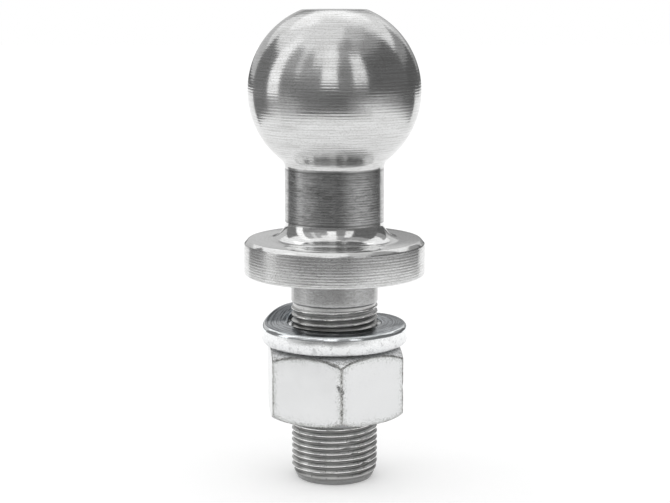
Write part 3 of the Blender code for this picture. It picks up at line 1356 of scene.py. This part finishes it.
@dataclass
class Studio:
    """A white floor, darker ground beyond the white paper, flags, softboxes and a white world."""

    floor_size: float = 6.0
    floor_tone: float = 0.91
    floor_lift: float = 0.18
    daylight: float = 0.95
    middle: float = 0.09
    flag_distance: float = 1.6
    flag_columns: int = 12
    flag_rows: int = 6
    softbox_distance: float = 1.8
    sheet_lift: float = 0.0004
    sheet_steps: int = 4
    sheets: tuple[Sheet, ...] = (
        Sheet("ground_near", (0.235, 0.32), ((-78, 0.8), (-42, 0.15), (14, 0.13), (52, 0.8))),
        Sheet("ground_middle", (0.32, 0.50), (
            (-135, 0.22), (-104, 0.22), (-90, 0.52), (-54, 0.56), (-34, 0.27), (-10, 0.20),
            (12, 0.19), (26, 0.42), (44, 0.82), (74, 0.74), (100, 0.56), (132, 0.28))),
        Sheet("ground_far", (0.50, 1.6), (
            (-135, 0.22), (-104, 0.22), (-90, 0.52), (-60, 0.42), (-40, 0.22), (-8, 0.18),
            (8, 0.14), (34, 0.32), (60, 0.50), (78, 0.40), (104, 0.17), (132, 0.11))),
    )
    flags: tuple[Flag, ...] = (
        Flag("flag_horizon", (-60, 46), (-3, 2), 0.16),
        Flag("flag_left_low", (-78, -17), (2, 20), 0.28),
        Flag("flag_left_edge", (-78, -60), (-3, 2), 0.30),
        Flag("flag_left_high", (-78, -57), (20, 52), 0.45),
        Flag("strip_left", (-57, -48), (20, 50), 0.75),
        Flag("flag_left_mid", (-48, -34), (20, 52), 0.45),
        Flag("flag_left_inner", (-34, -17), (20, 36), 0.42),
        Flag("flag_left_rear", (-135, -98), (-3, 34), 0.22),
        Flag("flag_centre", (4, 26), (2, 40), 0.28),
        Flag("flag_centre_high", (8, 26), (40, 68), 0.42),
        Flag("flag_strip_foot", (-17, 4), (2, 11), 0.22),
        Flag("panel_front", (-17, 4), (11, 62), 1.12),
        Flag("flag_strip_low", (26, 45), (2, 11), 0.26),
        Flag("flag_right", (45, 114), (-3, 46), 0.16),
        Flag("flag_right_high", (45, 114), (46, 62), 0.40),
        Flag("flag_right_top", (45, 124), (62, 80), 0.66),
        Flag("flag_back_low", (150, 225), (-2, 3), 0.15),
        Flag("panel_top", (145, 228), (44, 66), 1.4),
        Flag("flag_right_front", (26, 45), (50, 72), 0.34),
        Flag("flag_right_rear", (114, 150), (-3, 18), 0.13),
        Flag("flag_right_side", (114, 150), (18, 32), 0.34),
        Flag("flag_back_right", (150, 179), (3, 11), 0.36),
        Flag("flag_back_right_high", (150, 179), (11, 22), 0.68),
        Flag("flag_back_left", (179, 225), (3, 22), 0.60),
        Flag("flag_back_high", (165, 198), (22, 42), 0.34),
        Flag("panel_left", (-98, -78), (-3, 60), 1.25),
    )
    softboxes: tuple[Softbox, ...] = (
        Softbox("softbox_left", -99, 50, (0.5, 0.5), 1.0),
        Softbox("softbox_right", 70, 78, (0.9, 0.9), 0.8),
    )

    def build(self) -> None:
        """Makes the floor, ground sheets, flags, lamps and world."""
        self.grey = self.glow()
        self.floor()
        for sheet in self.sheets:
            self.lay(sheet)
        for flag in self.flags:
            self.hang(flag)
        for softbox in self.softboxes:
            self.light(softbox)
        self.world()

    def floor(self) -> None:
        """Makes the pale floor, lifted on the rays that show the white surround."""
        half = self.floor_size / 2
        mesh = bpy.data.meshes.new("floor")
        corners = [(-half, -half, 0), (half, -half, 0), (half, half, 0), (-half, half, 0)]
        mesh.from_pydata(corners, [], [(0, 1, 2, 3)])
        surface = Surface("floor_white")
        graph, tone = surface.graph, self.floor_tone
        paper = graph.node("ShaderNodeBsdfDiffuse", None, {"Color": (tone, tone, tone, 1.0)})
        lifted = graph.node("ShaderNodeEmission", None, {"Strength": self.seen(graph) * self.floor_lift})
        mesh.materials.append(surface.output(graph.node("ShaderNodeAddShader", None, {0: paper, 1: lifted})))
        linked("floor", mesh)

    def lay(self, sheet: Sheet) -> None:
        """Lays one sheet of the darker ground.

        Args:
            sheet: the sheet.
        """
        skin = bmesh.new()
        levels = []
        for (start, first), (end, last) in zip(sheet.stops, sheet.stops[1:]):
            before = None
            for step in range(self.sheet_steps + 1):
                share = step / self.sheet_steps
                out = self.direction(partway(start, end, share), 0.0)
                pair = [skin.verts.new((*(out * reach).xy, self.sheet_lift)) for reach in sheet.reach]
                levels += [partway(first, last, share)] * 2
                if before:
                    skin.faces.new((*before, pair[1], pair[0]))
                before = pair
        self.show_in_reflections(skin, sheet.name, levels)

    def hang(self, flag: Flag) -> None:
        """Hangs one flag on a sphere round the object.

        Args:
            flag: the flag.
        """
        skin = bmesh.new()
        before = None
        for i in range(self.flag_columns + 1):
            azimuth = partway(*flag.azimuth, i / self.flag_columns)
            line = []
            for k in range(self.flag_rows + 1):
                out = self.direction(azimuth, partway(*flag.elevation, k / self.flag_rows))
                line.append(skin.verts.new(out * self.flag_distance + self.hub()))
            if before:
                for k in range(self.flag_rows):
                    skin.faces.new((before[k], line[k], line[k + 1], before[k + 1]))
            before = line
        self.show_in_reflections(skin, flag.name, [flag.level] * len(skin.verts))

    def show_in_reflections(self, skin: bmesh.types.BMesh, name: str, levels: list[float]) -> None:
        """Turns a mesh into a stage piece that only reflections see.

        Args:
            skin: the mesh, which is freed.
            name: the stage piece's name.
            levels: the brightness of each of its points.
        """
        mesh = bpy.data.meshes.new(name)
        skin.to_mesh(mesh)
        skin.free()
        mark_points(mesh, "level", levels)
        mesh.materials.append(self.grey)
        made = linked(name, mesh)
        made.visible_camera = False
        made.visible_diffuse = False
        made.visible_shadow = False

    def light(self, softbox: Softbox) -> None:
        """Sets up one softbox.

        Args:
            softbox: the softbox.
        """
        lamp = bpy.data.lights.new(softbox.name, "AREA")
        lamp.shape = "RECTANGLE"
        lamp.size, lamp.size_y = softbox.size
        lamp.energy = softbox.power
        made = linked(softbox.name, lamp)
        towards = self.direction(softbox.azimuth, softbox.elevation)
        made.location = towards * self.softbox_distance + self.hub()
        made.rotation_euler = towards.to_track_quat("Z", "Y").to_euler()
        made.visible_glossy = False

    def world(self) -> None:
        """Makes a white surround, which also lights the floor softly."""
        world = bpy.data.worlds.new("studio_white")
        bpy.context.scene.world = world
        world.use_nodes = True
        graph = Graph(world.node_tree)
        strength = self.seen(graph) * (1.0 - self.daylight) + self.daylight
        inputs = {"Color": (1.0, 1.0, 1.0, 1.0), "Strength": strength}
        back = graph.node("ShaderNodeBackground", None, inputs)
        graph.node("ShaderNodeOutputWorld", None, {"Surface": back})

    def hub(self) -> Vector:
        """The point that the flags and lamps surround."""
        return Vector((0.0, 0.0, self.middle))

    @staticmethod
    def seen(graph: Graph) -> Value:
        """Tells the rays that show the white surround: the camera's, and those that metal or glass sends.

        Args:
            graph: the graph that asks.

        Returns:
            1 on those rays, 0 on others.
        """
        camera = graph.node("ShaderNodeLightPath", output="Is Camera Ray")
        outputs = camera.socket.node.outputs
        others = Value(graph, outputs["Is Glossy Ray"]) + Value(graph, outputs["Is Transmission Ray"])
        return (camera + others).capped()

    @staticmethod
    def direction(azimuth: float, elevation: float) -> Vector:
        """A unit vector at an azimuth from the camera's side and an elevation, both in degrees."""
        turn, tilt = math.radians(azimuth), math.radians(elevation)
        return Vector((math.cos(tilt) * math.sin(turn), -math.cos(tilt) * math.cos(turn), math.sin(tilt)))

    @staticmethod
    def glow() -> bpy.types.Material:
        """Makes a grey that needs no light, as bright as its mesh's levels say.

        Returns:
            The material.
        """
        surface = Surface("studio_grey")
        graph = surface.graph
        level = graph.node("ShaderNodeAttribute", {"attribute_name": "level"}, output="Fac")
        return surface.output(graph.node("ShaderNodeEmission", None, {"Color": level, "Strength": 1.0}))


@dataclass
class PhotoCamera:
    """The photograph's camera, in front of the stud and a little above its flange.

    Its focal length is given in pixels of an image that is 670 pixels wide.
    """

    distance: float = 0.4774
    height: float = 0.14744
    side: float = 0.00015
    tilt: float = math.radians(9.51)
    focal_pixels: float = 1657.0
    image_width: float = 670.0
    sensor_millimetres: float = 36.0
    nearest: float = 0.01

    def build(self) -> None:
        """Makes the camera and gives it to the scene."""
        data = bpy.data.cameras.new("photo_camera")
        data.sensor_fit = "HORIZONTAL"
        data.sensor_width = self.sensor_millimetres
        data.lens = self.focal_pixels / self.image_width * self.sensor_millimetres
        data.clip_start = self.nearest
        made = linked("photo_camera", data)
        place = Matrix.Translation((self.side, -self.distance, self.height))
        made.matrix_world = place @ Matrix.Rotation(QUARTER - self.tilt, 4, "X")
        bpy.context.scene.camera = made


def main() -> None:
    """Builds the camera, the pieces and the studio."""
    logging.basicConfig(level=logging.INFO, format="%(name)s: %(message)s")
    bpy.context.scene.view_settings.view_transform = "Standard"
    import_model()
    PhotoCamera().build()
    for sub_assembly in (BallStud(), LockWasher(), HexNut()):
        piece = sub_assembly.build()
        log.info("%s: %d faces", piece.name, len(piece.data.polygons))
    studio = Studio()
    studio.build()
    log.info("studio: %d flags, %d softboxes", len(studio.flags), len(studio.softboxes))


if __name__ == "__main__":
    main()
